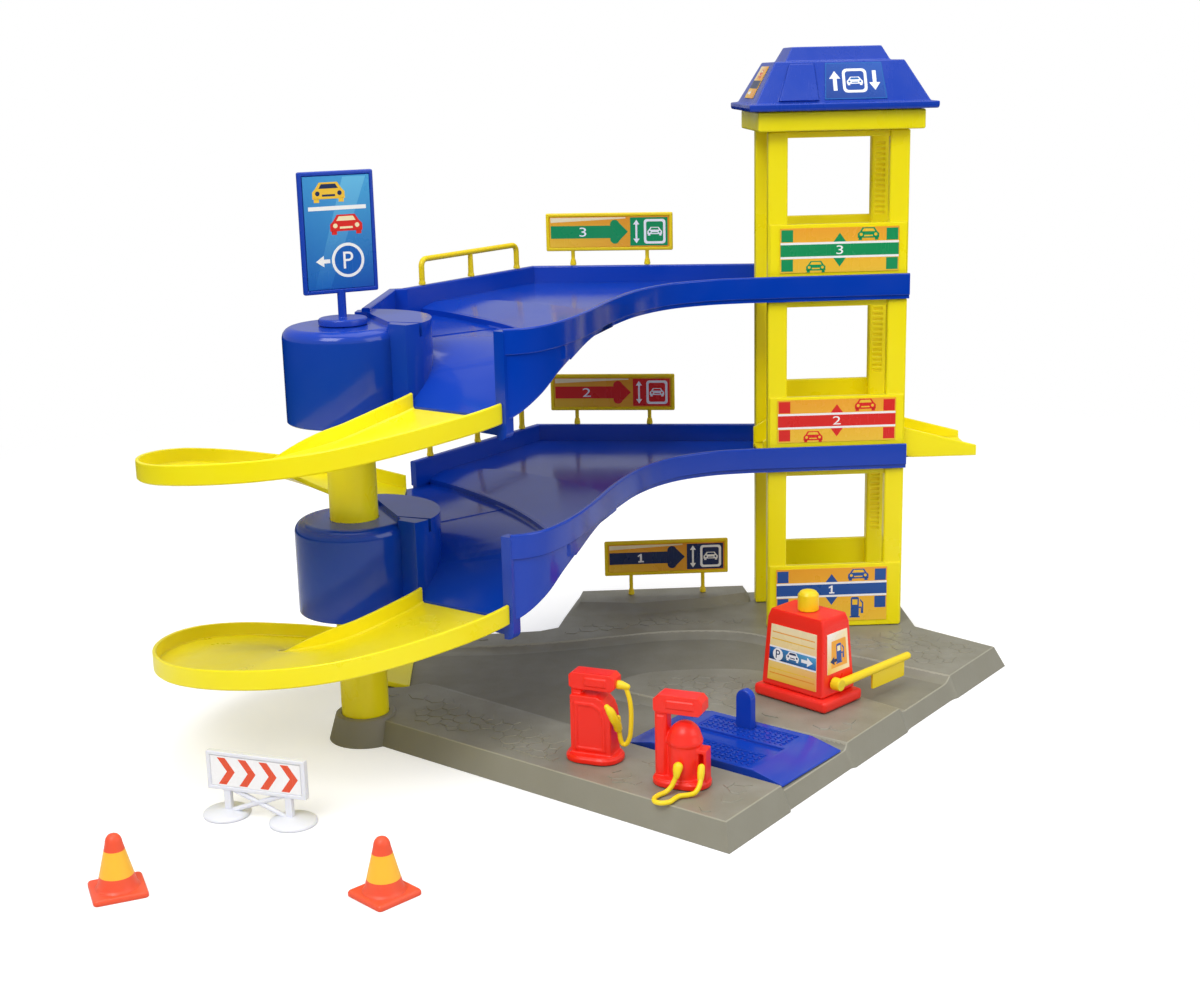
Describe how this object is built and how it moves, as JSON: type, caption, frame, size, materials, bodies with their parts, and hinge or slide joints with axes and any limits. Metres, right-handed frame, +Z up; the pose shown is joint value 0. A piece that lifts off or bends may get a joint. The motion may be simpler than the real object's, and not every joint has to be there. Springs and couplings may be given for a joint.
{
  "type": "toy parking garage",
  "caption": "Toy parking garage with lift tower, two driving decks, two spiral ramps and a forecourt with booth, barrier and fuel pumps.",
  "frame": {"origin": "centre of the bounding box at the surface the toy stands on", "axes": "+Z up, +X from the spiral ramps to the lift tower, +Y away from the viewer"},
  "size_m": [0.4202, 0.365, 0.3131],
  "materials": {
    "base_grey": "satin",
    "deck_blue": "glossy",
    "roof_blue": "glossy",
    "tower_yellow": "glossy",
    "sign_yellow": "glossy",
    "sign_blue": "glossy",
    "booth_red": "glossy",
    "barricade_white": "glossy",
    "cone_orange": "satin",
    "printed_label": "glossy"
  },
  "bodies": {
    "garage": {"base_plate": "base_grey", "deck_2": "deck_blue", "deck_3": "deck_blue", "ramp_lower": "tower_yellow", "ramp_upper": "tower_yellow", "column_lower": "tower_yellow", "column_upper": "tower_yellow", "tower_front_1": "tower_yellow", "tower_front_2": "tower_yellow", "tower_front_3": "tower_yellow", "tower_back_1": "tower_yellow", "tower_back_2": "tower_yellow", "tower_back_3": "tower_yellow", "tower_collar": "tower_yellow", "roof": "roof_blue", "sign_level_1": "sign_yellow", "sign_level_2": "sign_yellow", "sign_level_3": "sign_yellow", "railing_2": "sign_yellow", "railing_3": "sign_yellow", "booth_plinth": "booth_red", "booth_body": "booth_red", "booth_lamp": "sign_yellow", "pump_1": "booth_red", "pump_2": "booth_red", "pump_1_hose": "sign_yellow", "pump_2_hose": "sign_yellow", "panel_label_1": "printed_label", "panel_label_2": "printed_label", "panel_label_3": "printed_label", "roof_label_front": "printed_label", "roof_label_side": "printed_label", "sign_label_1": "printed_label", "sign_label_2": "printed_label", "sign_label_3": "printed_label", "booth_label_front": "printed_label", "booth_label_side": "printed_label"},
    "lift": {"lift_platform": "tower_yellow"},
    "barrier": {"barrier_arm": "sign_yellow"},
    "parking_sign": {"parking_sign": "sign_blue", "parking_label": "printed_label"},
    "service_ramp": {"service_platform": "deck_blue", "service_handle": "deck_blue"},
    "barricade": {"barricade": "barricade_white", "barricade_label": "printed_label"},
    "cone_left": {"cone_left": "cone_orange"},
    "cone_right": {"cone_right": "cone_orange"}
  },
  "joints": [
    {"name": "lift_slide", "type": "slide", "parent": "garage", "child": "lift", "axis": [0, 0, 1], "range_m": [-0.089, 0.089]},
    {"name": "barrier_turn", "type": "hinge", "parent": "garage", "child": "barrier", "pos_m": [0.10562, -0.01828, 0.0235], "axis": [0.6691, -0.7431, 0], "range_deg": [0, 85]},
    {"name": "parking_sign_turn", "type": "hinge", "parent": "garage", "child": "parking_sign", "pos_m": [-0.11395, -0.00212, 0.1963], "axis": [0, 0, 1], "continuous": true},
    {"name": "service_ramp_tilt", "type": "hinge", "parent": "garage", "child": "service_ramp", "pos_m": [0.0378, -0.07363, 0.0083], "axis": [0.7547, -0.6561, 0], "range_deg": [0, 25]},
    {"name": "barricade_lift", "type": "slide", "parent": "garage", "child": "barricade", "axis": [0, 0, 1], "range_m": [0, 0.05]},
    {"name": "cone_left_lift", "type": "slide", "parent": "garage", "child": "cone_left", "axis": [0, 0, 1], "range_m": [0, 0.05]},
    {"name": "cone_right_lift", "type": "slide", "parent": "garage", "child": "cone_right", "axis": [0, 0, 1], "range_m": [0, 0.05]}
  ]
}
